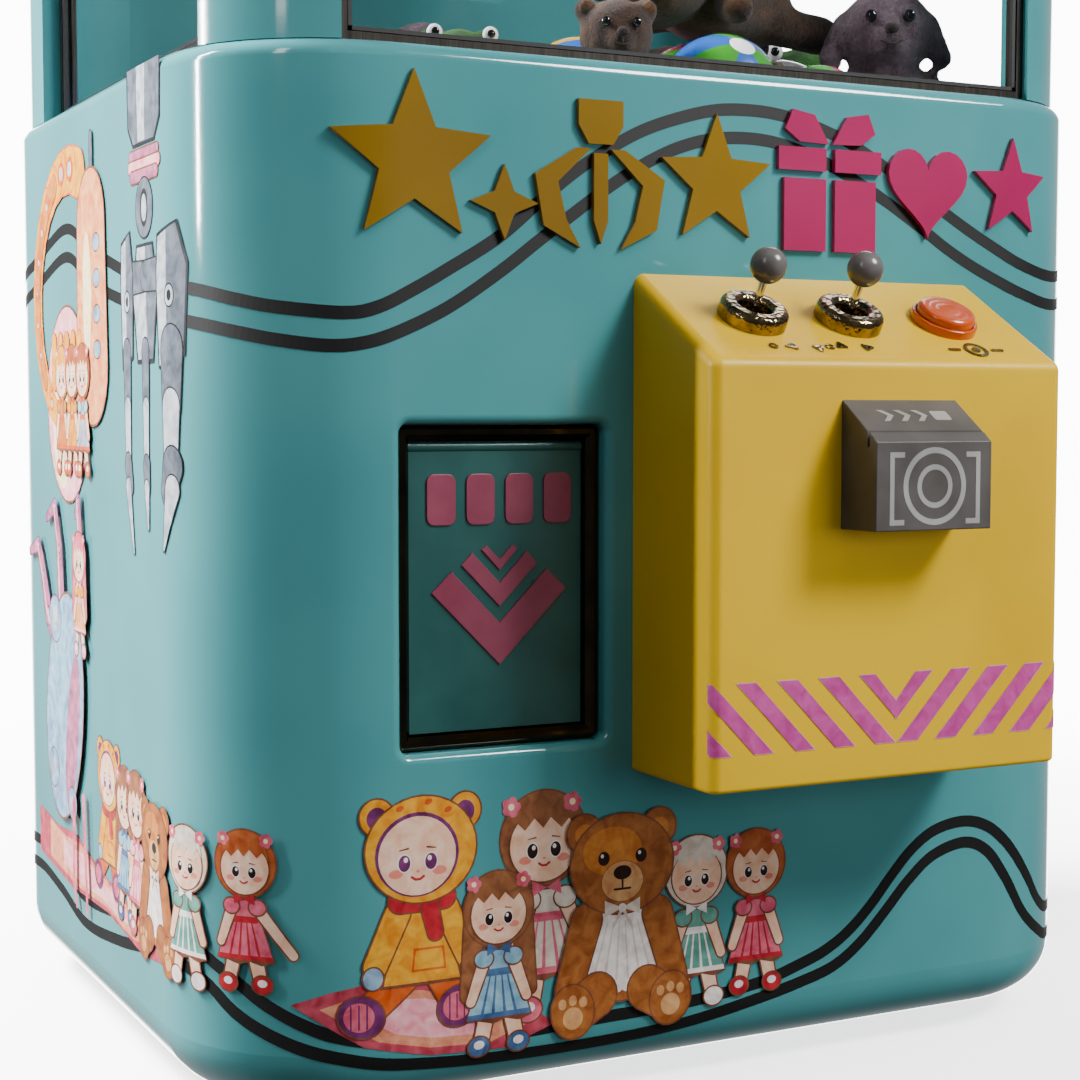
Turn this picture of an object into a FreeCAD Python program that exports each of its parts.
"""A free-standing claw crane machine: moulded cabinet, glazed cabin, header with a travelling crane.

The frame has +Z up, +X to the right of a player who faces the front, and -Y towards that player.
The origin is on the floor, under the middle of the overall length, width and height of the machine.
The shapes are drawn about the cabinet's own middle and shifted along Y as they are written.
All sizes are in millimetres.
"""

import FreeCAD
import Part
import math
import os

from FreeCAD import Vector

# ---- overall cabinet -----------------------------------------------------------------------------
width = 950.0
depth = 806.0
total_height = 1950.0
foot_height = 20.0
base_height = 903.0
header_height = 260.0
corner_radius = 158.0
edge_round = 53.0
rim_round = 14.0
shell_wall = 4.0
rim_flange = 42.0
cabin_inset = 9.0

# ---- prize door and chute ------------------------------------------------------------------------
door_left = -314.0
door_width = 194.0
door_bottom = 327.0
door_height = 278.0
door_bar = 12.0
door_setback = 12.0
door_frame_depth = 25.0
door_lip_round = 8.0
door_surround = 14.0
flap_gap = 1.5
flap_thickness = 6.0
flap_setback = 10.0
flap_pin_radius = 2.5
flap_barrel_radius = 5.0
chute_sheet = 2.0
chute_depth = 183.0
chute_overlap = 10.0
chute_floor_drop = 8.0
chute_floor_slope = 0.2
guard_height = 150.0
guard_thickness = 5.0

# ---- control box ---------------------------------------------------------------------------------
box_left = -92.5
box_width = 372.0
box_bottom = 296.0
box_front_height = 363.0
box_back_height = 442.0
box_projection = 134.0
box_wall = 5.0
box_round = 10.0
box_small_round = 4.0
controls_up_slope = 74.0
stick_left_x = -15.0
stick_right_x = 86.0
button_x = 192.0
collar_radius = 31.0
collar_hole_radius = 14.0
collar_height = 15.0
collar_round = 6.0
stick_radius = 3.5
ball_radius = 16.0
ball_height = 52.0
pivot_depth = 18.0
gimbal_outer = 17.0
gimbal_inner = 9.0
gimbal_thickness = 6.0
trunnion_radius = 2.0
running_gap = 0.05
housing_side = 56.0
housing_depth = 33.0
housing_bore = 21.0
button_radius = 31.0
button_bezel_height = 8.0
button_cap_radius = 27.0
button_cap_height = 16.0
button_cap_gap = 0.4
reader_left = 36.0
reader_width = 121.5
reader_bottom = 516.0
reader_projection = 50.0
reader_front_height = 75.0
reader_back_height = 110.5
reader_slot_width = 3.0
reader_slot_depth = 12.0

# ---- cabin ---------------------------------------------------------------------------------------
post_thickness = 38.0
post_wall = 3.0
front_post_reach = 106.0
front_post_side_reach = 93.0
rear_post_reach = 136.0
rear_post_side_start = 205.0
glass_thickness = 5.0
glass_slack = 0.25
glass_bite = 3.5
trim_bar = 8.0
trim_depth = 16.0
trim_setback = 7.4
deck_thickness = 12.0
deck_gap = 14.0
deck_drop = 60.0
toy_gap = 0.3

# ---- inner frame, feet and services --------------------------------------------------------------
chassis_thickness = 4.0
chassis_margin = 3.0
tube_side = 30.0
tube_wall = 2.0
upright_x = 387.0
upright_y = 315.0
foot_x = 330.0
foot_y = 260.0
foot_pad_radius = 30.0
foot_stem_radius = 6.0
foot_stem_gap = 0.5
foot_nut_side = 9.5

# ---- rear doors ----------------------------------------------------------------------------------
service_width = 580.0
service_bottom = 150.0
service_height = 650.0
door_panel = 3.7
door_edge_gap = 2.0
door_lip = 15.0
hinge_barrel = 5.0
hinge_pin = 2.5
knuckle_length = 40.0
knuckle_gap = 0.5
restock_skin = 4.0
restock_edge = 20.0
lock_barrel = 9.0
lock_inset = 32.0
cam_reach = 30.0
rocker_tip = 7.0

# ---- crane ---------------------------------------------------------------------------------------
crane_home_x = -222.0
crane_home_y = -262.0
crane_travel_x = 444.0
crane_travel_y = 500.0
rail_x = 385.0
rail_width = 20.0
rail_height = 12.0
rail_top = 1810.0
rail_overrun = 80.0
bridge_wheel_radius = 12.0
bridge_wheel_width = 14.0
bridge_axle_radius = 3.0
wheel_gap = 0.3
bridge_axle_spread = 62.0
truck_plate = 4.0
truck_half = 82.0
rod_radius = 6.0
rod_spread = 36.0
rod_height = 1838.0
trolley_half_x = 50.0
trolley_half_y = 48.0
trolley_height = 32.0
drum_radius = 18.0
drum_length = 30.0
drum_height = 1880.0
mast_top = 1854.0
mast_bottom = 1652.0
mast_radius = 19.0
mast_wall = 2.0
mast_gap = 0.5
claw_drop = 350.0
head_radius = 30.0
head_height = 78.0
hub_height = 16.0
plunger_disc_radius = 15.0
plunger_recess = 3.5
plunger_gap = 0.3
lever_drop = 12.0
finger_pivot_radius = 34.0
finger_thickness = 8.0
finger_pin_radius = 2.5
finger_length = 104.0
drum_clearance = 1.5

# ---- prizes: x and y, then a radius, or a scale, a turn and the kind of ear ----------------------
ball_places = [
    (60, -300, 58),
    (167, -309, 47),
    (110, -172, 66),
    (240, -128, 66),
    (-22, -168, 64),
    (-345, -20, 62),
    (60, 30, 66),
    (-180, 170, 64),
]
bear_places = [(-47, -286, 0.95, -20), (225, 80, 1.2, -25)]
lying_bear_places = [(-245, -128, 0, 1.0, -6), (50, -195, 1, 1.45, -70)]
rabbit_places = [(300, -235, 1.3, -30), (-90, 80, 1.2, 12)]
frog_places = [(-118, -85, 0.95, -12), (345, -15, 1.15, -25)]

# ---- values that follow from those above ---------------------------------------------------------
front_y = -depth / 2
rear_y = depth / 2
base_top = foot_height + base_height
header_bottom = total_height - header_height
cabin_width = width - 2 * cabin_inset
cabin_depth = depth - 2 * cabin_inset
cabin_radius = corner_radius - cabin_inset
cabin_height = header_bottom - base_top
deck_top = base_top - shell_wall - deck_drop
box_front_y = front_y - box_projection
box_right = box_left + box_width
slope_angle = math.degrees(math.atan2(box_back_height - box_front_height, box_projection))
post_edge_x = cabin_width / 2 - front_post_reach
post_edge_y = -cabin_depth / 2 + front_post_side_reach
handle_projection = 14.0
overall_middle_y = (rear_y + handle_projection + box_front_y - reader_projection) / 2


def box(x0, x1, y0, y1, z0, z1):
    """A block between two opposite corners."""
    return Part.makeBox(x1 - x0, y1 - y0, z1 - z0, Vector(x0, y0, z0))


def cylinder(radius, start, end):
    """A round bar from one point to another."""
    start, end = Vector(*start), Vector(*end)
    return Part.makeCylinder(radius, (end - start).Length, start, end - start)


def pipe(outer, inner, start, end):
    """A round tube from one point to another."""
    return cylinder(outer, start, end).cut(cylinder(inner, start, end))


def rounded_wire(w, d, r, z):
    """A closed rounded rectangle, centred on the Z axis, at height z."""
    x, y, k = w / 2, d / 2, r * (1 - math.sqrt(0.5))
    corners = [(1, 1), (-1, 1), (-1, -1), (1, -1)]
    edges = []
    for i, (sx, sy) in enumerate(corners):
        on_y = Vector(sx * (x - r), sy * y, z)
        on_x = Vector(sx * x, sy * (y - r), z)
        middle = Vector(sx * (x - k), sy * (y - k), z)
        first, last = (on_x, on_y) if i % 2 == 0 else (on_y, on_x)
        edges.append(Part.Arc(first, middle, last).toShape())
        nx, ny = corners[(i + 1) % 4]
        following = Vector(nx * (x - r), ny * y, z) if i % 2 == 0 else Vector(nx * x, ny * (y - r), z)
        edges.append(Part.LineSegment(last, following).toShape())
    return Part.Wire(edges)


def rounded_block(w, d, r, z0, z1, bottom_round=0.0, top_round=0.0):
    """An upright block with rounded corners, and rounded lower and upper edges where asked."""
    block = Part.Face(rounded_wire(w, d, r, z0)).extrude(Vector(0, 0, z1 - z0))
    for height, radius in ((z0, bottom_round), (z1, top_round)):
        if radius:
            rim = [e for e in block.Edges if all(abs(v.Z - height) < 1e-6 for v in e.Vertexes)]
            block = block.makeFillet(radius, rim)
    return block


def cabinet_block(inset, z0, z1, bottom_round=0.0, top_round=0.0):
    """The cabinet's own outline, moved in by inset."""
    return rounded_block(
        width - 2 * inset, depth - 2 * inset, corner_radius - inset, z0, z1, bottom_round, top_round
    )


def cabin_block(inset, z0, z1):
    """The glazed cabin's outline, moved in by inset."""
    return rounded_block(cabin_width - 2 * inset, cabin_depth - 2 * inset, cabin_radius - inset, z0, z1)


def profile_prism(points, x0, x1):
    """A (y, z) outline pushed along X."""
    corners = [Vector(x0, y, z) for y, z in points]
    return Part.Face(Part.makePolygon(corners + corners[:1])).extrude(Vector(x1 - x0, 0, 0))


def plate_xz(points, y0, y1):
    """An (x, z) outline pushed along Y."""
    corners = [Vector(x, y0, z) for x, z in points]
    return Part.Face(Part.makePolygon(corners + corners[:1])).extrude(Vector(0, y1 - y0, 0))


def window_block(x0, x1, y0, y1, z0, z1, r):
    """A block with its four edges along Y rounded, as for a window or a frame."""
    block = box(x0, x1, y0, y1, z0, z1)
    along_y = [e for e in block.Edges if abs(e.Vertexes[0].Y - e.Vertexes[1].Y) > 1e-6]
    return block.makeFillet(r, along_y)


def mirrored(shape):
    """The same shape on the other side of the cabinet."""
    return shape.mirror(Vector(0, 0, 0), Vector(1, 0, 0))


def on_slope(shape):
    """Moves a shape from the panel's own frame to the sloping top of the control box.

    In that frame X is across, Y up the slope and Z out of it, from the front edge of the slope.
    """
    turn = FreeCAD.Rotation(Vector(1, 0, 0), slope_angle)
    seat = FreeCAD.Placement(Vector(0, box_front_y, box_bottom + box_front_height), turn)
    moved = shape.copy()
    moved.Placement = seat.multiply(shape.Placement)
    return moved


def save(name, *solids):
    """Writes one node; several solids stay separate pieces in it."""
    found = [s for shape in solids for s in shape.Solids]
    shape = found[0] if len(found) == 1 else Part.makeCompound(found)
    shape.translate(Vector(0, -overall_middle_y, 0))
    shape.exportStep(os.path.join("parts", name + ".step"))


# ---- base ----------------------------------------------------------------------------------------


def make_base_shell():
    shell = cabinet_block(0, foot_height, base_top, edge_round, rim_round)
    hollow = cabinet_block(
        shell_wall,
        foot_height + shell_wall,
        base_top - shell_wall,
        edge_round - shell_wall,
        rim_round - shell_wall,
    )
    shell = shell.cut(hollow)
    shell = shell.cut(cabinet_block(rim_flange, base_top - 2 * shell_wall, base_top + 1))
    # thick surround of the prize door, with a softly rolled lip
    x0, x1 = door_left - 1, door_left + door_width + 1
    z0, z1 = door_bottom - 1, door_bottom + door_height + 1
    surround_back = front_y + door_setback + door_frame_depth
    surround = box(
        x0 - door_surround,
        x1 + door_surround,
        front_y + shell_wall / 2,
        surround_back,
        z0 - door_surround,
        z1 + door_surround,
    )
    left_wall = cabinet_block(shell_wall / 2, foot_height, base_top)
    shell = shell.fuse(surround.common(left_wall))
    shell = shell.cut(window_block(x0, x1, front_y - 1, surround_back + 1, z0, z1, 8))
    lip = [
        e
        for e in shell.Edges
        if all(abs(v.Y - front_y) < 1e-6 for v in e.Vertexes)
        and x0 - 1 < e.CenterOfMass.x < x1 + 1
        and z0 - 1 < e.CenterOfMass.z < z1 + 1
    ]
    shell = shell.makeFillet(door_lip_round, lip)
    # cable way into the control box
    middle = box_left + box_width / 2
    shell = shell.cut(box(middle - 120, middle + 120, front_y - 1, front_y + 10, 420, 620))
    # rear service opening with its stop lip
    half = service_width / 2
    top = service_bottom + service_height
    lip_back = rear_y - shell_wall
    ring = box(-half - 20, half + 20, lip_back - shell_wall, lip_back, service_bottom - 20, top + 20)
    shell = shell.fuse(ring)
    shell = shell.cut(box(-half, half, lip_back, rear_y + 1, service_bottom, top))
    shell = shell.cut(
        box(
            -half + door_lip,
            half - door_lip,
            lip_back - shell_wall - 1,
            lip_back + 1,
            service_bottom + door_lip,
            top - door_lip,
        )
    )
    # power inlet cut-out and foot holes
    shell = shell.cut(box(-46, 46, rear_y - 10, rear_y + 1, 91, 129))
    for x in (-foot_x, foot_x):
        for y in (-foot_y, foot_y):
            hole = cylinder(foot_stem_radius + foot_stem_gap, (x, y, 0), (x, y, 60))
            shell = shell.cut(hole)
    save("base_shell", shell)


def make_chassis_and_feet():
    floor = foot_height + shell_wall
    plate = cabinet_block(edge_round + chassis_margin, floor, floor + chassis_thickness)
    feet = []
    for x in (-foot_x, foot_x):
        for y in (-foot_y, foot_y):
            hole = cylinder(foot_stem_radius + foot_stem_gap, (x, y, 0), (x, y, 60))
            plate = plate.cut(hole)
            pad = cylinder(foot_pad_radius, (x, y, 0), (x, y, 8))
            pad = pad.makeChamfer(2, [e for e in pad.Edges if abs(e.CenterOfMass.z - 8) < 1e-6])
            stem = cylinder(foot_stem_radius, (x, y, 7), (x, y, 64))
            lower_nut = hexagon(x, y, 10, foot_height)
            upper_nut = hexagon(x, y, floor + chassis_thickness, floor + chassis_thickness + 10)
            feet.append(pad.fuse(stem).fuse(lower_nut).fuse(upper_nut))
    save("chassis_plate", plate)
    save("levelling_feet", *feet)


def hexagon(x, y, z0, z1):
    """A plain hexagonal nut body."""
    points = []
    for k in range(6):
        a = math.radians(60 * k)
        points.append(Vector(x + foot_nut_side * math.cos(a), y + foot_nut_side * math.sin(a), z0))
    return Part.Face(Part.makePolygon(points + points[:1])).extrude(Vector(0, 0, z1 - z0))


def square_tube(x0, x1, y0, y1, z0, z1, along):
    """A box section, open at both ends of the axis that it runs along."""
    w = tube_wall
    grow = {"x": (-1, w, w), "y": (w, -1, w), "z": (w, w, -1)}[along]
    gx, gy, gz = grow
    inner = box(x0 + gx, x1 - gx, y0 + gy, y1 - gy, z0 + gz, z1 - gz)
    return box(x0, x1, y0, y1, z0, z1).cut(inner)


def make_base_frame():
    floor = foot_height + shell_wall + chassis_thickness
    deck_under = deck_top - deck_thickness
    rail_bottom = deck_under - tube_side
    inner_x, inner_y = upright_x - tube_side, upright_y - tube_side
    chute_right = door_left + door_width + door_surround
    chute_back = front_y + door_setback + door_frame_depth + chute_depth
    members = []
    for sx in (-1, 1):
        x0, x1 = sorted((sx * inner_x, sx * upright_x))
        for sy in (-1, 1):
            y0, y1 = sorted((sy * inner_y, sy * upright_y))
            members.append(square_tube(x0, x1, y0, y1, floor, rail_bottom, "z"))
        members.append(square_tube(x0, x1, -upright_y, upright_y, rail_bottom, deck_under, "y"))
    members.append(square_tube(-inner_x, inner_x, inner_y, upright_y, rail_bottom, deck_under, "x"))
    cross = chute_back + 20
    members.append(square_tube(-inner_x, inner_x, cross, cross + tube_side, rail_bottom, deck_under, "x"))
    trimmer = chute_right + 10
    members.append(
        square_tube(trimmer, trimmer + tube_side, -inner_y, cross, rail_bottom, deck_under, "y")
    )
    members.append(
        square_tube(trimmer, inner_x, -upright_y, -inner_y, rail_bottom, deck_under, "x")
    )
    save("base_frame", *members)


def make_deck():
    deck = cabinet_block(shell_wall + deck_gap, deck_top - deck_thickness, deck_top)
    x0, x1 = door_left - chute_overlap, door_left + door_width
    y0 = front_y + rim_flange
    y1 = front_y + door_setback + door_frame_depth + chute_depth - 2
    deck = deck.cut(box(x0, x1, y0, y1, deck_top - 20, deck_top + 1))
    save("playfield_deck", deck)
    t = guard_thickness
    right = box(x1, x1 + t, y0, y1 + t, deck_top, deck_top + guard_height)
    rear = box(x0, x1, y1, y1 + t, deck_top, deck_top + guard_height)
    save("chute_guard", right.fuse(rear).removeSplitter())


def make_chute():
    t = chute_sheet
    x0, x1 = door_left - chute_overlap - t, door_left + door_width + t
    y0 = front_y + door_setback + door_frame_depth
    y1 = y0 + chute_depth
    top = deck_top - deck_thickness
    bottom = door_bottom + door_bar - 30
    duct = box(x0, x1, y0, y1, bottom, top).cut(box(x0 + t, x1 - t, y0 + t, y1 - t, bottom - 1, top + 1))
    mouth = box(
        door_left + door_bar,
        door_left + door_width - door_bar,
        y0 - 1,
        y0 + t + 1,
        door_bottom + door_bar,
        door_bottom + door_height - door_bar,
    )
    duct = duct.cut(mouth)
    front_z = door_bottom + door_bar - chute_floor_drop
    rear_z = front_z + chute_floor_slope * chute_depth
    floor = profile_prism(
        [(y0 + t, front_z - t), (y1 - t, rear_z - t), (y1 - t, rear_z), (y0 + t, front_z)],
        x0 + t,
        x1 - t,
    )
    save("prize_chute", duct.fuse(floor).removeSplitter())


def make_prize_door():
    x0, x1 = door_left, door_left + door_width
    z0, z1 = door_bottom, door_bottom + door_height
    y0 = front_y + door_setback
    y1 = y0 + door_frame_depth
    frame = window_block(x0, x1, y0, y1, z0, z1, 6)
    frame = frame.cut(
        box(x0 + door_bar, x1 - door_bar, y0 - 1, y1 + 1, z0 + door_bar, z1 - door_bar)
    )
    outer = [e for e in edges_at_y(frame, y0) if not inside_bar(e, x0, x1, z0, z1)]
    frame = frame.makeFillet(5, outer)
    inner = [e for e in edges_at_y(frame, y0) if inside_bar(e, x0, x1, z0, z1)]
    frame = frame.makeChamfer(4, inner)
    pin_y = y0 + flap_setback + flap_thickness / 2
    pin_z = z1 - door_bar - flap_gap - flap_barrel_radius
    pin_x0, pin_x1 = x0 + door_bar / 2, x1 - door_bar / 2
    frame = frame.fuse(cylinder(flap_pin_radius, (pin_x0, pin_y, pin_z), (pin_x1, pin_y, pin_z)))
    save("door_frame", frame)
    fx0, fx1 = x0 + door_bar + flap_gap, x1 - door_bar - flap_gap
    flap = box(
        fx0, fx1, y0 + flap_setback, y0 + flap_setback + flap_thickness, z0 + door_bar + flap_gap, pin_z
    )
    flap = flap.fuse(cylinder(flap_barrel_radius, (fx0, pin_y, pin_z), (fx1, pin_y, pin_z)))
    bore = cylinder(flap_pin_radius + running_gap, (fx0 - 1, pin_y, pin_z), (fx1 + 1, pin_y, pin_z))
    save("prize_flap", flap.cut(bore))


def edges_at_y(shape, y):
    """The edges that lie wholly at one Y."""
    return [e for e in shape.Edges if all(abs(v.Y - y) < 1e-6 for v in e.Vertexes)]


def inside_bar(edge, x0, x1, z0, z1):
    """Whether an edge of the door frame's front belongs to its inner opening."""
    c = edge.CenterOfMass
    margin = door_bar / 2
    return x0 + margin < c.x < x1 - margin and z0 + margin < c.z < z1 - margin


# ---- control box and what is on it ---------------------------------------------------------------


def free_edges(shape):
    """The edges of the control box that do not lie against the cabinet."""
    return [e for e in shape.Edges if not all(abs(v.Y - front_y) < 1e-6 for v in e.Vertexes)]


def make_control_box():
    top_front = box_bottom + box_front_height
    top_back = box_bottom + box_back_height
    outer = profile_prism(
        [(front_y, box_bottom), (box_front_y, box_bottom), (box_front_y, top_front), (front_y, top_back)],
        box_left,
        box_right,
    )
    soft = [e for e in free_edges(outer) if not all(abs(v.Z - box_bottom) < 1e-6 for v in e.Vertexes)]
    outer = outer.makeFillet(box_round, soft)
    small = [e for e in free_edges(outer) if all(abs(v.Z - box_bottom) < 1e-6 for v in e.Vertexes)]
    outer = outer.makeFillet(box_small_round, small)
    w = box_wall
    rise = w / math.cos(math.radians(slope_angle))
    slope = (top_back - top_front) / box_projection
    inner_front = box_front_y + w
    inner = profile_prism(
        [
            (front_y + 1, box_bottom + w),
            (inner_front, box_bottom + w),
            (inner_front, top_front + slope * w - rise),
            (front_y + 1, top_back + slope - rise),
        ],
        box_left + w,
        box_right - w,
    )
    shell = outer.cut(inner)
    for x in (stick_left_x, stick_right_x):
        shell = shell.cut(on_slope(slope_hole(collar_hole_radius + 1, x)))
    save("control_box", shell.cut(on_slope(slope_hole(button_cap_radius - 2, button_x))))


def slope_hole(radius, x):
    """A cutter for a round hole through the slope, in the slope's own directions."""
    return cylinder(radius, (x, controls_up_slope, -20), (x, controls_up_slope, 20))


def ring_profile(outer, inner, height, top_round):
    """A round collar that stands on the slope, centred on its own Z axis."""
    ring = pipe(outer, inner, (0, 0, 0), (0, 0, height))
    rim = [e for e in ring.Edges if abs(e.CenterOfMass.z - height) < 1e-6 and len(e.Vertexes) == 1]
    return ring.makeFillet(top_round, rim)


def moved_to(shape, x, y, z=0.0):
    """A copy of a shape, shifted."""
    copy = shape.copy()
    copy.translate(Vector(x, y, z))
    return copy


def make_joysticks():
    collar = ring_profile(collar_radius, collar_hole_radius, collar_height, collar_round)
    sticks = (("left", stick_left_x), ("right", stick_right_x))
    save("joystick_collars", *[on_slope(moved_to(collar, x, controls_up_slope)) for _, x in sticks])
    half = housing_side / 2
    top = -box_wall
    housing = box(-half, half, -half, half, top - housing_depth, top)
    housing = housing.cut(cylinder(housing_bore, (0, 0, top - housing_depth - 1), (0, 0, top + 1)))
    pivot = (0, 0, -pivot_depth)
    trunnion_end = housing_bore + 4
    bearing = cylinder(
        trunnion_radius + running_gap, (-trunnion_end, 0, pivot[2]), (trunnion_end, 0, pivot[2])
    )
    housing = housing.cut(bearing)
    save("joystick_housings", *[on_slope(moved_to(housing, x, controls_up_slope)) for _, x in sticks])
    half_ring = gimbal_thickness / 2
    ring = pipe(
        gimbal_outer, gimbal_inner, (0, 0, pivot[2] - half_ring), (0, 0, pivot[2] + half_ring)
    )
    for sign in (-1, 1):
        start, end = sign * (gimbal_outer - 2), sign * (trunnion_end - 0.5)
        ring = ring.fuse(cylinder(trunnion_radius, (start, 0, pivot[2]), (end, 0, pivot[2])))
    cross_end = gimbal_outer - 1
    cross_hole = cylinder(
        trunnion_radius + running_gap, (0, -gimbal_outer - 1, pivot[2]), (0, gimbal_outer + 1, pivot[2])
    )
    ring = ring.cut(cross_hole)
    shaft = cylinder(stick_radius, (0, 0, -pivot_depth - 14), (0, 0, ball_height - ball_radius + 1.5))
    shaft = shaft.fuse(Part.makeSphere(gimbal_inner - 2.5, Vector(*pivot)))
    shaft = shaft.fuse(cylinder(trunnion_radius, (0, -cross_end, pivot[2]), (0, cross_end, pivot[2])))
    foot = -pivot_depth - 14
    shaft = shaft.fuse(cylinder(stick_radius + 3.5, (0, 0, foot - 4), (0, 0, foot)))
    ball = Part.makeSphere(ball_radius, Vector(0, 0, ball_height))
    socket = cylinder(stick_radius, (0, 0, 0), (0, 0, ball_height - ball_radius + 1.5))
    ball = ball.cut(socket)
    for side, x in sticks:
        save("gimbal_" + side, on_slope(moved_to(ring, x, controls_up_slope)))
        save("stick_" + side, on_slope(moved_to(shaft, x, controls_up_slope)))
        save("ball_" + side, on_slope(moved_to(ball, x, controls_up_slope)))


def make_button():
    bezel = ring_profile(button_radius, button_cap_radius + button_cap_gap, button_bezel_height, 1.5)
    stem_radius = 8.0
    body = pipe(button_cap_radius - 3, stem_radius + running_gap, (0, 0, -34), (0, 0, -12))
    sleeve = pipe(button_cap_radius - 3, button_cap_radius - 6, (0, 0, -12), (0, 0, 0))
    flange = pipe(button_radius, button_cap_radius - 6, (0, 0, 0), (0, 0, 2))
    bezel = bezel.fuse(flange).fuse(sleeve).fuse(body)
    cap = cylinder(button_cap_radius, (0, 0, 7), (0, 0, button_cap_height))
    rim = [e for e in cap.Edges if abs(e.CenterOfMass.z - button_cap_height) < 1e-6]
    cap = cap.makeFillet(4.5, [e for e in rim if len(e.Vertexes) == 1])
    cap = cap.fuse(cylinder(stem_radius, (0, 0, -26), (0, 0, 8)))
    save("button_bezel", on_slope(moved_to(bezel, button_x, controls_up_slope)))
    save("button_cap", on_slope(moved_to(cap, button_x, controls_up_slope)))


def make_card_reader():
    back, front = box_front_y, box_front_y - reader_projection
    top_front = reader_bottom + reader_front_height
    top_back = reader_bottom + reader_back_height
    slot_y = front + 10
    slope_end = slot_y + reader_slot_width
    body = profile_prism(
        [
            (back, reader_bottom),
            (front, reader_bottom),
            (front, top_front),
            (slot_y, top_front + 8),
            (slope_end, top_front + 9.5),
            (back, top_back),
        ],
        reader_left,
        reader_left + reader_width,
    )
    edges = [e for e in body.Edges if not all(abs(v.Y - back) < 1e-6 for v in e.Vertexes)]
    body = body.makeFillet(1.2, edges)
    slot = box(
        reader_left - 1,
        reader_left + reader_width + 1,
        slot_y,
        slope_end,
        top_front + 8 - reader_slot_depth,
        top_front + 20,
    )
    save("card_reader", body.cut(slot))


# ---- raised emblem shapes on the front -----------------------------------------------------------


def star_points(cx, cz, outer, inner, count=5, turn=90.0):
    """A star's corners, outer and inner by turns."""
    points = []
    for k in range(2 * count):
        r = outer if k % 2 == 0 else inner
        a = math.radians(turn + 180.0 * k / count)
        points.append((cx + r * math.cos(a), cz + r * math.sin(a)))
    return points


def heart_points(cx, cz, size, count=40):
    """A heart from its usual curve."""
    points = []
    for k in range(count):
        t = 2 * math.pi * k / count
        x = 16 * math.sin(t) ** 3
        z = 13 * math.cos(t) - 5 * math.cos(2 * t) - 2 * math.cos(3 * t) - math.cos(4 * t)
        points.append((cx + size * x / 34, cz + size * (z + 2.5) / 34))
    return points


def make_emblems():
    raised = 5.0
    z0, z1 = base_top - 200, base_top - 15
    outside = rounded_block(
        width + 2 * raised, depth + 2 * raised, corner_radius + raised, z0, z1
    )
    band = outside.cut(cabinet_block(0, z0, z1))
    band = band.common(box(-width, width, front_y - 50, front_y + corner_radius, z0, z1))
    middle = 826.0

    def cut_out(points):
        return plate_xz(points, front_y - 40, front_y + corner_radius)

    gold = [cut_out(star_points(-304, middle, 74, 33))]
    gold.append(cut_out(star_points(-221, middle - 32, 32, 13, 4)))
    gold.append(cut_out(star_points(-10, middle - 4, 60, 26)))
    hub = [(-150, 60), (-106, 60), (-106, 38), (-116, 22), (-140, 22), (-150, 38)]
    gold.append(cut_out([(x, middle + z) for x, z in hub]))
    for sign in (-1, 1):
        arm = [(10, 18), (24, 18), (64, -6), (56, -50), (20, -68), (34, -44), (42, -12)]
        gold.append(cut_out([(-128 + sign * x, middle + z) for x, z in arm]))
    prong = [(-135, 14), (-121, 14), (-121, -44), (-128, -64), (-135, -44)]
    gold.append(cut_out([(x, middle + z) for x, z in prong]))
    pink = []
    for x0, x1 in ((62, 108), (118, 164)):
        pink.append(cut_out([(x0, middle - 62), (x1, middle - 62), (x1, middle + 4), (x0, middle + 4)]))
    for x0, x1 in ((56, 108), (118, 170)):
        pink.append(cut_out([(x0, middle + 11), (x1, middle + 11), (x1, middle + 32), (x0, middle + 32)]))
    for sign in (-1, 1):
        bow = [(2, 36), (18, 62), (42, 66), (50, 48), (34, 37)]
        pink.append(cut_out([(113 + sign * x, middle + z) for x, z in bow]))
    pink.append(cut_out(heart_points(225, middle - 4, 98)))
    pink.append(cut_out(star_points(327, middle + 6, 49, 21)))
    save("emblem_gold", *[band.common(s) for s in gold])
    save("emblem_pink", *[band.common(s) for s in pink])


# ---- cabin ---------------------------------------------------------------------------------------


def make_posts():
    z0, z1 = base_top, header_bottom
    ring = cabin_block(0, z0, z1).cut(cabin_block(post_thickness, z0 - 1, z1 + 1))
    core = cabin_block(post_wall, z0 - 1, z1 + 1)
    core = core.cut(cabin_block(post_thickness - post_wall, z0 - 2, z1 + 2))
    far = width
    rear_edge = cabin_width / 2 - rear_post_reach
    w = post_wall
    front = ring.common(box(-far, -post_edge_x, -far, post_edge_y, z0, z1))
    front = front.cut(core.common(box(-far, -post_edge_x - w, -far, post_edge_y - w, z0 - 1, z1 + 1)))
    rear = ring.common(box(-far, -rear_edge, rear_post_side_start, far, z0, z1))
    rear = rear.cut(
        core.common(box(-far, -rear_edge - w, rear_post_side_start + w, far, z0 - 1, z1 + 1))
    )
    save("posts_front", front, mirrored(front))
    save("posts_rear", rear, mirrored(rear))


def glazed_opening(u0, u1, z0, z1, outer_face):
    """A trim frame and its pane, drawn with the pane's width along X and its outside towards -Y."""
    y0, y1 = outer_face, outer_face + trim_depth
    frame = box(u0, u1, y0, y1, z0, z1)
    frame = frame.cut(box(u0 + trim_bar, u1 - trim_bar, y0 - 1, y1 + 1, z0 + trim_bar, z1 - trim_bar))
    middle = (y0 + y1) / 2
    half = glass_thickness / 2
    groove = trim_bar - glass_bite - glass_slack
    slot = half + glass_slack
    frame = frame.cut(box(u0 + groove, u1 - groove, middle - slot, middle + slot, z0 + groove, z1 - groove))
    edge = trim_bar - glass_bite
    pane = box(u0 + edge, u1 - edge, middle - half, middle + half, z0 + edge, z1 - edge)
    return frame, pane


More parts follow.
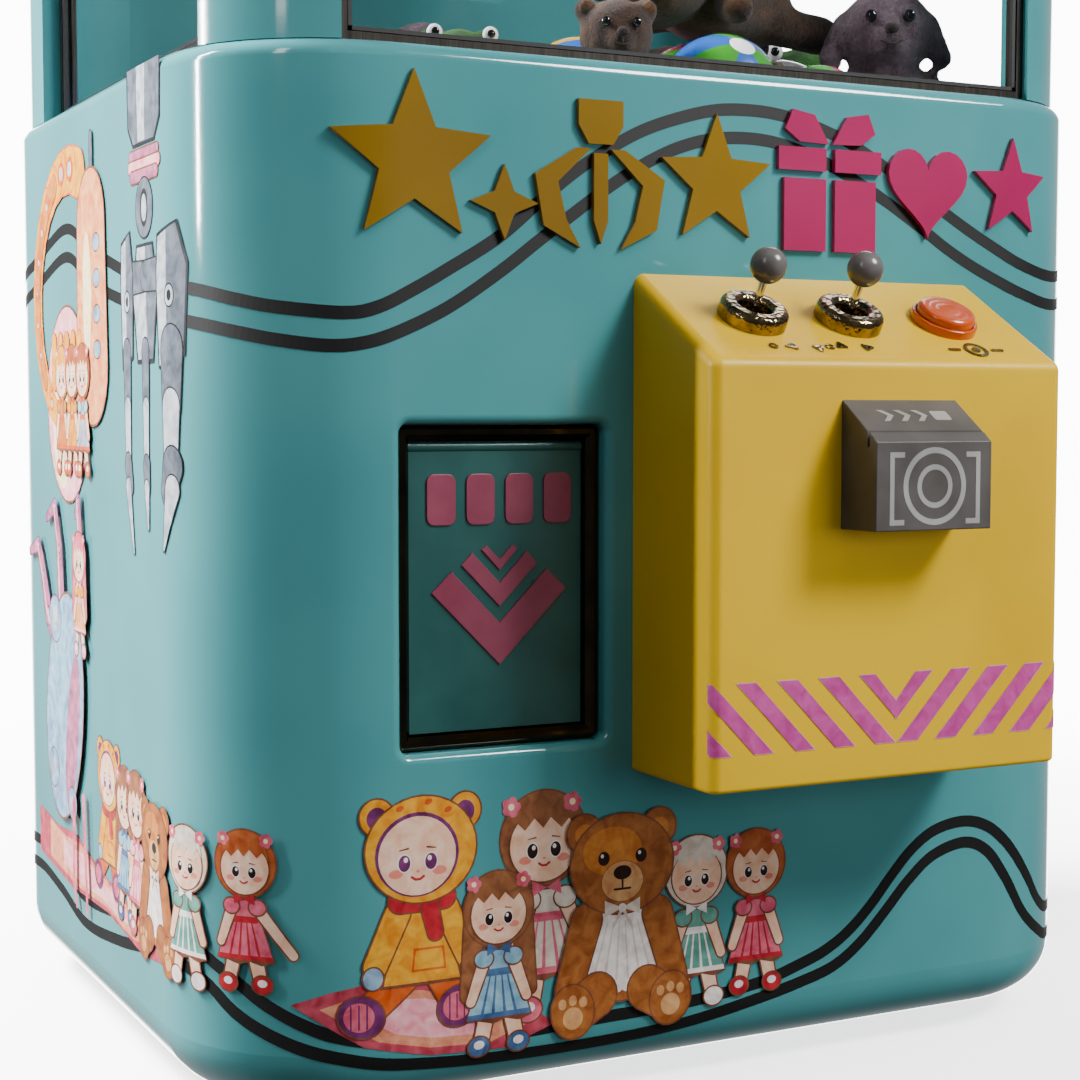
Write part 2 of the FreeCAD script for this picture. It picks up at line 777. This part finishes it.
def make_glazing():
    z0, z1 = base_top, header_bottom
    arc = cabin_width / 2 - cabin_radius
    arc_y = cabin_depth / 2 - cabin_radius
    post_front = -arc_y - math.sqrt(cabin_radius**2 - (post_edge_x - arc) ** 2)
    frame, pane = glazed_opening(-post_edge_x, post_edge_x, z0, z1, post_front + trim_setback)
    save("trim_front", frame)
    save("glass_front", pane)
    post_side = arc + math.sqrt(cabin_radius**2 - (-post_edge_y - arc_y) ** 2)
    frame, pane = glazed_opening(
        -rear_post_side_start, -post_edge_y, z0, z1, -(post_side - trim_setback)
    )
    turn = FreeCAD.Rotation(Vector(0, 0, 1), -90)
    for name, shape in (("trim_sides", frame), ("glass_sides", pane)):
        side = shape.copy()
        side.Placement = FreeCAD.Placement(Vector(0, 0, 0), turn)
        save(name, side, mirrored(side))


def make_header():
    shell = cabinet_block(0, header_bottom, total_height, rim_round, edge_round)
    hollow = cabinet_block(
        shell_wall,
        header_bottom + shell_wall,
        total_height - shell_wall,
        rim_round - shell_wall,
        edge_round - shell_wall,
    )
    shell = shell.cut(hollow)
    shell = shell.cut(cabinet_block(rim_flange, header_bottom - 1, header_bottom + 2 * shell_wall))
    save("header_shell", shell)
    lamps = []
    shelf = header_bottom + shell_wall
    for sign in (-1, 1):
        y = sign * (depth / 2 - 45)
        tube = cylinder(7, (-290, y, shelf + 12), (290, y, shelf + 12))
        for x0 in (-306, 290):
            tube = tube.fuse(box(x0, x0 + 16, y - 9, y + 9, shelf, shelf + 21))
        lamps.append(tube)
    save("lamp_tubes", *lamps)


# ---- rear doors ----------------------------------------------------------------------------------


def hinge_set(x, y, heights, swing, against):
    """Fixed knuckles with their pins, and the moving knuckles between them.

    The fixed leaf reaches to -X of the pin and lies on the body given; the moving one reaches to +X.
    Each hinge has three knuckles.
    """
    fixed, moving = [], []
    for z in heights:
        pin = cylinder(hinge_pin, (x, y, z - 1.5 * knuckle_length), (x, y, z + 1.5 * knuckle_length))
        middle = pipe(
            hinge_barrel,
            hinge_pin + running_gap,
            (x, y, z - knuckle_length / 2 + knuckle_gap),
            (x, y, z + knuckle_length / 2 - knuckle_gap),
        )
        leaf_z0, leaf_z1 = z - knuckle_length / 2 + knuckle_gap, z + knuckle_length / 2 - knuckle_gap
        leaf = box(x + 4, x + 30, swing, swing + 2.5, leaf_z0, leaf_z1)
        moving.append(middle.fuse(leaf.cut(cylinder(hinge_barrel - 1, (x, y, leaf_z0), (x, y, leaf_z1)))))
        body = pin
        for z0 in (z - 1.5 * knuckle_length, z + knuckle_length / 2):
            body = body.fuse(cylinder(hinge_barrel, (x, y, z0), (x, y, z0 + knuckle_length)))
            plate = box(x - 22, x - 3, swing - 12, swing + 2.5, z0, z0 + knuckle_length)
            body = body.fuse(plate.cut(against))
        fixed.append(body)
    return fixed, moving


def cam_lock(x, z, face_y, cam_y, reach):
    """A quarter-turn lock: barrel, turning handle outside and a cam inside that hangs down."""
    lock = cylinder(lock_barrel, (x, cam_y, z), (x, face_y + 6, z))
    lock = lock.fuse(cylinder(lock_barrel + 4, (x, face_y + 0.5, z), (x, face_y + 6, z)))
    lock = lock.fuse(box(x - 3, x + 3, face_y + 5, face_y + handle_projection, z - 13, z + 13))
    cam = box(x - 7, x + 7, cam_y, cam_y + 3, z - reach, z)
    return lock.fuse(cam)


def make_rear_doors():
    half = service_width / 2 - door_edge_gap
    z0 = service_bottom + door_edge_gap
    z1 = service_bottom + service_height - door_edge_gap
    panel = box(-half, half, rear_y - door_panel, rear_y, z0, z1)
    lock_x = service_width / 2 - lock_inset
    lock_z = service_bottom + service_height / 2
    cut = cylinder(lock_barrel + 0.1, (lock_x, rear_y - 20, lock_z), (lock_x, rear_y + 20, lock_z))
    panel = panel.cut(cut)
    louvre_x = 150
    for k in range(5):
        z = z0 + 60 + 22 * k
        panel = panel.cut(box(-louvre_x, louvre_x, rear_y - 10, rear_y + 1, z, z + 8))
    hinge_x = -service_width / 2 - 3
    fixed_low, moving_low = hinge_set(
        hinge_x,
        rear_y + hinge_barrel,
        (service_bottom + 110, z1 - 110),
        rear_y,
        cabinet_block(0, foot_height, base_top),
    )
    save("service_door", panel.fuse(moving_low[0]).fuse(moving_low[1]))
    save("service_lock", cam_lock(lock_x, lock_z, rear_y, rear_y - 2 * shell_wall - 7, cam_reach))
    edge = cabin_width / 2 - rear_post_reach
    face_y = cabin_depth / 2
    rz0, rz1 = base_top + 3, header_bottom - 3
    skin = box(-edge + 3, edge - 3, face_y - restock_skin, face_y, rz0, rz1)
    back_y = face_y - restock_edge
    rim = box(-edge + 3, edge - 3, back_y, face_y - restock_skin, rz0, rz1)
    rim = rim.cut(
        box(-edge + 23, edge - 23, back_y - 1, face_y - restock_skin + 1, rz0 + 20, rz1 - 20)
    )
    door = skin.fuse(rim).removeSplitter()
    upper_lock_x = edge - 40
    upper_lock_z = (rz0 + rz1) / 2
    bore = cylinder(
        lock_barrel + 0.1, (upper_lock_x, back_y - 5, upper_lock_z), (upper_lock_x, face_y + 5, upper_lock_z)
    )
    door = door.cut(bore)
    fixed_up, moving_up = hinge_set(
        -edge - 1, face_y + hinge_barrel, (rz0 + 120, rz1 - 120), face_y, cabin_block(0, rz0, rz1)
    )
    save("restock_door", door.fuse(moving_up[0]).fuse(moving_up[1]))
    cam_y = cabin_depth / 2 - post_thickness - 7
    upper_reach = edge - upper_lock_x + 12
    save("restock_lock", cam_lock(upper_lock_x, upper_lock_z, face_y, cam_y, upper_reach))
    save("door_hinges", *fixed_low, *fixed_up)


# ---- services inside the base --------------------------------------------------------------------


def make_services():
    floor = foot_height + shell_wall + chassis_thickness
    supply = box(90, 290, -60, 60, floor + 4, floor + 62)
    for x in (100, 274):
        supply = supply.fuse(box(x, x + 6, -70, 70, floor, floor + 4.5))
    save("power_supply", supply)
    board = box(-120, 60, -70, 60, floor + 12, floor + 14)
    for x in (-112, 46):
        for y in (-62, 46):
            board = board.fuse(box(x, x + 6, y, y + 6, floor, floor + 12.5))
    chips = ((-90, -40, 40, 40, 8), (-20, 10, 60, 30, 14), (-100, 30, 30, 16, 10), (0, -60, 44, 20, 12))
    for x, y, w, d, h in chips:
        board = board.fuse(box(x, x + w, y, y + d, floor + 13, floor + 14 + h))
    save("control_board", board.removeSplitter())
    plate = box(-56, 56, rear_y, rear_y + 2.5, 84, 136)
    back = box(-44, 44, rear_y - 40, rear_y + 0.5, 93, 127)
    inlet = plate.fuse(back).cut(box(-36, -8, rear_y - 16, rear_y + 3, 100, 120))
    for x in (-30, -22, -14):
        pin = box(x - 2, x + 2, rear_y - 17, rear_y - 4, 108, 112)
        inlet = inlet.fuse(pin)
    inlet = inlet.cut(box(6, 34, rear_y - 18, rear_y + 3, 98.5, 121.5))
    axle = (rear_y - 6, 110)
    inlet = inlet.cut(cylinder(1.55, (3, *axle), (37, *axle)))
    save("power_inlet", inlet)
    side = [(-12, 104), (-12, 116), (2, 120), (5, 119), (1.5, 110), (5, 101), (2, 100)]
    rocker = profile_prism([(rear_y + y, z) for y, z in side], 7, 33)
    rocker = rocker.fuse(cylinder(1.5, (4, *axle), (36, *axle)))
    rocker.rotate(Vector(20, *axle), Vector(1, 0, 0), rocker_tip)
    save("rocker_switch", rocker)


# ---- crane ---------------------------------------------------------------------------------------


def make_crane():
    x, y = crane_home_x, crane_home_y
    roof = total_height - shell_wall
    header_room = cabinet_block(shell_wall, header_bottom, roof, 0, edge_round - shell_wall)
    rails, hangers = [], []
    y0 = y - rail_overrun
    y1 = y + crane_travel_y + rail_overrun
    for sign in (-1, 1):
        x0, x1 = sorted((sign * (rail_x - rail_width / 2), sign * (rail_x + rail_width / 2)))
        rails.append(box(x0, x1, y0, y1, rail_top - rail_height, rail_top))
        hx0, hx1 = sorted((sign * (rail_x + rail_width / 2), sign * (rail_x + rail_width / 2 + 6)))
        for hy in (y0 + 60, (y0 + y1) / 2, y1 - 60):
            hanger = box(hx0, hx1, hy - 20, hy + 20, rail_top - rail_height, roof - 12)
            cap_x0, cap_x1 = sorted((sign * (rail_x - 30), sign * (rail_x + rail_width / 2 + 6)))
            cap = box(cap_x0, cap_x1, hy - 20, hy + 20, roof - 16, roof)
            hangers.append(hanger.fuse(cap).common(header_room))
    joined = [rail.fuse(hangers[3 * k : 3 * k + 3]) for k, rail in enumerate(rails)]
    save("gantry_rails", *joined)

    axle_z = rail_top + bridge_wheel_radius + wheel_gap
    plate_out = rail_x - rail_width / 2 - 5
    trucks = []
    for sign in (-1, 1):
        px0, px1 = sorted((sign * (plate_out - truck_plate), sign * plate_out))
        plate = box(px0, px1, y - truck_half, y + truck_half, rail_top - 8, rod_height + 18)
        for dy in (-bridge_axle_spread, bridge_axle_spread):
            hole = (px0 - 1, y + dy, axle_z), (px1 + 1, y + dy, axle_z)
            plate = plate.cut(cylinder(bridge_axle_radius + running_gap, *hole))
        trucks.append(plate)
    inner_x = plate_out - truck_plate
    rods = [
        cylinder(rod_radius, (-inner_x, y + dy, rod_height), (inner_x, y + dy, rod_height))
        for dy in (-rod_spread, rod_spread)
    ]
    save("bridge_rods", *rods)
    motor_y = y - bridge_axle_spread
    motor_ends = (-inner_x, motor_y, axle_z), (-inner_x + 48, motor_y, axle_z)
    motor = pipe(17, bridge_axle_radius + running_gap, *motor_ends)
    trucks[0] = trucks[0].fuse(motor)
    save("bridge_trucks", *trucks)
    for name, dy in (("drive_axle", -bridge_axle_spread), ("idler_axle", bridge_axle_spread)):
        axle = cylinder(bridge_axle_radius, (-rail_x - 9, y + dy, axle_z), (rail_x + 9, y + dy, axle_z))
        for sign in (-1, 1):
            wx0 = sign * rail_x - bridge_wheel_width / 2
            wheel_ends = (wx0, y + dy, axle_z), (wx0 + bridge_wheel_width, y + dy, axle_z)
            axle = axle.fuse(cylinder(bridge_wheel_radius, *wheel_ends))
        save(name, axle)

    block_z0, block_z1 = rod_height - trolley_height / 2, rod_height + trolley_height / 2
    block = box(-trolley_half_x, trolley_half_x, -trolley_half_y, trolley_half_y, block_z0, block_z1)
    block.translate(Vector(x, y, 0))
    for dy in (-rod_spread, rod_spread):
        block = block.cut(
            cylinder(rod_radius + running_gap, (x - 80, y + dy, rod_height), (x + 80, y + dy, rod_height))
        )
    block = block.cut(cylinder(mast_radius + 0.2, (x, y, block_z0 - 1), (x, y, block_z1 + 1)))
    drum_x = x + drum_radius + drum_clearance
    cheek = 4.0
    for y0c in (y - drum_length / 2 - 1 - cheek, y + drum_length / 2 + 1):
        cheek_plate = box(drum_x - 14, drum_x + 14, y0c, y0c + cheek, block_z1, drum_height + 12)
        cheek_plate = cheek_plate.cut(
            cylinder(4 + running_gap, (drum_x, y0c - 1, drum_height), (drum_x, y0c + cheek + 1, drum_height))
        )
        block = block.fuse(cheek_plate)

    def on_drum_axis(y0, y1):
        return (drum_x, y0, drum_height), (drum_x, y1, drum_height)

    drum_y0, drum_y1 = y - drum_length / 2, y + drum_length / 2
    drum = cylinder(drum_radius - 2, *on_drum_axis(drum_y0, drum_y1))
    for flange_y in (drum_y0, drum_y1 - 2):
        drum = drum.fuse(cylinder(drum_radius, *on_drum_axis(flange_y, flange_y + 2)))
    drum = drum.fuse(cylinder(4, *on_drum_axis(drum_y0 - 6, drum_y1 + 10)))
    save("hoist_drum", drum)
    motor_start = drum_y1 + 1 + cheek
    hoist = pipe(14, 4 + running_gap, *on_drum_axis(motor_start, motor_start + 34))
    hoist = hoist.fuse(cylinder(14, *on_drum_axis(motor_start + 8, motor_start + 34)))
    save("trolley_block", block.fuse(hoist))

    outer_r = mast_radius
    mast = pipe(outer_r, outer_r - mast_wall, (x, y, mast_bottom), (x, y, mast_top))
    mast = mast.fuse(pipe(outer_r + 9, outer_r - mast_wall, (x, y, block_z0 - 4), (x, y, block_z0)))
    save("mast_outer", mast)
    middle_r = outer_r - mast_wall - mast_gap
    save("mast_middle", pipe(middle_r, middle_r - mast_wall, (x, y, mast_bottom - 10), (x, y, mast_top - 4)))
    inner_r = middle_r - mast_wall - mast_gap
    head_top = mast_bottom - 14
    save("mast_inner", pipe(inner_r, inner_r - mast_wall, (x, y, head_top), (x, y, mast_top - 6)))
    make_claw(x, y, head_top)


def make_claw(x, y, head_top):
    head_bottom = head_top - head_height
    head = cylinder(head_radius, (x, y, head_bottom), (x, y, head_top))
    rims = [e for e in head.Edges if len(e.Vertexes) == 1]
    head = head.makeFillet(4, rims)
    plunger_bore = 5.0
    head = head.cut(cylinder(plunger_bore + running_gap, (x, y, head_bottom - 1), (x, y, head_bottom + 50)))
    save("claw_head", head)
    hub_z0, hub_z1 = head_bottom - hub_height, head_bottom
    hub = pipe(22, plunger_bore + running_gap, (x, y, hub_z0), (x, y, hub_z1))
    pivot_z = hub_z0 + 4
    half = finger_thickness / 2
    ear_gap = half + 0.4
    fingers = []
    pins = []

    def on_pivot(reach):
        return (finger_pivot_radius, -reach, pivot_z), (finger_pivot_radius, reach, pivot_z)

    for k in range(3):
        turn = 90 + 120 * k
        ears = []
        for side in (-1, 1):
            s0, s1 = sorted((side * ear_gap, side * (ear_gap + 4)))
            ears.append(box(12, finger_pivot_radius + 6, s0, s1, hub_z0 - 4, hub_z1))
        for ear in ears:
            ear = ear.cut(cylinder(finger_pin_radius, *on_pivot(20)))
            hub = hub.fuse(rotated_to(ear, turn, x, y))
        pin = cylinder(finger_pin_radius, *on_pivot(ear_gap + 4))
        pins.append(rotated_to(pin, turn, x, y))
        fingers.append(rotated_to(make_finger(pivot_z, half), turn, x, y))
        hub = hub.cut(rotated_to(box(7, 60, -ear_gap, ear_gap, hub_z0 - 20, hub_z1), turn, x, y))
    for pin in pins:
        hub = hub.fuse(pin)
    recess = plunger_disc_radius + 0.6
    hub = hub.cut(cylinder(recess, (x, y, hub_z0 - 10), (x, y, hub_z0 + plunger_recess)))
    save("claw_hub", hub)
    for k, finger in enumerate(fingers):
        save("finger_%d" % (k + 1), finger)
    disc_top = pivot_z - lever_drop - plunger_gap
    plunger = cylinder(plunger_bore, (x, y, disc_top - 4), (x, y, head_bottom + 34))
    plunger = plunger.fuse(cylinder(plunger_disc_radius, (x, y, disc_top - 4), (x, y, disc_top)))
    save("claw_plunger", plunger)


def make_finger(pivot_z, half):
    """One claw finger in the plane y = 0, at angle 0, hung from its pivot."""
    r = finger_pivot_radius
    length = finger_length
    outline = [
        (r - 20, pivot_z - lever_drop),
        (r - 20, pivot_z - 5),
        (r - 6, pivot_z + 5),
        (r + 6, pivot_z + 5),
        (r + 34, pivot_z - 10),
        (r + 60, pivot_z - 42),
        (r + 58, pivot_z - 74),
        (r + 40, pivot_z - length),
        (r + 36, pivot_z - length + 2),
        (r + 47, pivot_z - 72),
        (r + 48, pivot_z - 46),
        (r + 28, pivot_z - 22),
        (r, pivot_z - 10),
    ]
    finger = plate_xz(outline, -half, half)
    bore = cylinder(finger_pin_radius + running_gap, (r, -half - 1, pivot_z), (r, half + 1, pivot_z))
    return finger.cut(bore)


def rotated_to(shape, degrees, x, y):
    """Turns a shape about Z and carries it to the claw's own axis."""
    copy = shape.copy()
    copy.rotate(Vector(0, 0, 0), Vector(0, 0, 1), degrees)
    copy.translate(Vector(x, y, 0))
    return copy


# ---- prizes --------------------------------------------------------------------------------------


def capsule(radius, start, end):
    """A round bar with ball ends."""
    bar = cylinder(radius, start, end)
    return bar.fuse([Part.makeSphere(radius, Vector(*start)), Part.makeSphere(radius, Vector(*end))])


def placed_toy(shape, x, y, lift, turn):
    """Turns a toy about Z and sets it down a hair above what it rests on."""
    shape.rotate(Vector(0, 0, 0), Vector(0, 0, 1), turn)
    shape.translate(Vector(x, y, deck_top + lift + toy_gap))
    return shape


def sitting_plush(x, y, s, turn, ear):
    """A seated stuffed animal as a plain solid: body, head, muzzle, ears, arms and legs."""
    shape = capsule(35 * s, (0, 0, 35 * s), (0, -2 * s, 60 * s))
    shape = shape.fuse(Part.makeSphere(38 * s, Vector(0, -6 * s, 112 * s)))
    shape = shape.fuse(Part.makeSphere(15 * s, Vector(0, -37 * s, 103 * s)))
    for sign in (-1, 1):
        if ear == "round":
            shape = shape.fuse(Part.makeSphere(13 * s, Vector(sign * 30 * s, -3 * s, 139 * s)))
        else:
            root = (sign * 36 * s, -5 * s, 118 * s)
            shape = shape.fuse(capsule(10 * s, root, (sign * 46 * s, -9 * s, 90 * s)))
        shoulder = (sign * 33 * s, -6 * s, 72 * s)
        shape = shape.fuse(capsule(12 * s, shoulder, (sign * 47 * s, -26 * s, 44 * s)))
        hip = (sign * 22 * s, -18 * s, 15 * s)
        shape = shape.fuse(capsule(15 * s, hip, (sign * 27 * s, -60 * s, 15 * s)))
    return placed_toy(shape, x, y, 0, turn)


def lying_plush(x, y, on_balls, s, turn):
    """A stuffed animal flat on its front, head towards -Y, on the deck or on top of two balls."""
    shape = capsule(35 * s, (0, 50 * s, 35 * s), (0, 100 * s, 35 * s))
    shape = shape.fuse(Part.makeSphere(38 * s, Vector(0, 0, 40 * s)))
    shape = shape.fuse(Part.makeSphere(15 * s, Vector(0, -30 * s, 30 * s)))
    for sign in (-1, 1):
        shape = shape.fuse(Part.makeSphere(13 * s, Vector(sign * 28 * s, 6 * s, 64 * s)))
        shoulder = (sign * 26 * s, 46 * s, 24 * s)
        shape = shape.fuse(capsule(12 * s, shoulder, (sign * 58 * s, 18 * s, 12 * s)))
        hip = (sign * 20 * s, 108 * s, 18 * s)
        shape = shape.fuse(capsule(15 * s, hip, (sign * 32 * s, 150 * s, 15 * s)))
    lift = 2 * ball_places[2][2] + toy_gap if on_balls else 0
    return placed_toy(shape, x, y, lift, turn)


def make_prizes():
    balls = []
    for x, y, r in ball_places:
        balls.append(Part.makeSphere(r, Vector(x, y, deck_top + r + toy_gap)))
    save("prize_balls", *balls)
    bears = [sitting_plush(*place, "round") for place in bear_places]
    bears += [lying_plush(*place) for place in lying_bear_places]
    save("prize_bears", *bears)
    save("prize_rabbits", *[sitting_plush(*place, "long") for place in rabbit_places])
    save("prize_frogs", *[sitting_plush(*place, "round") for place in frog_places])


def main():
    os.makedirs("parts", exist_ok=True)
    make_base_shell()
    make_chassis_and_feet()
    make_base_frame()
    make_deck()
    make_chute()
    make_prize_door()
    make_control_box()
    make_joysticks()
    make_button()
    make_card_reader()
    make_emblems()
    make_posts()
    make_glazing()
    make_header()
    make_rear_doors()
    make_services()
    make_crane()
    make_prizes()


main()
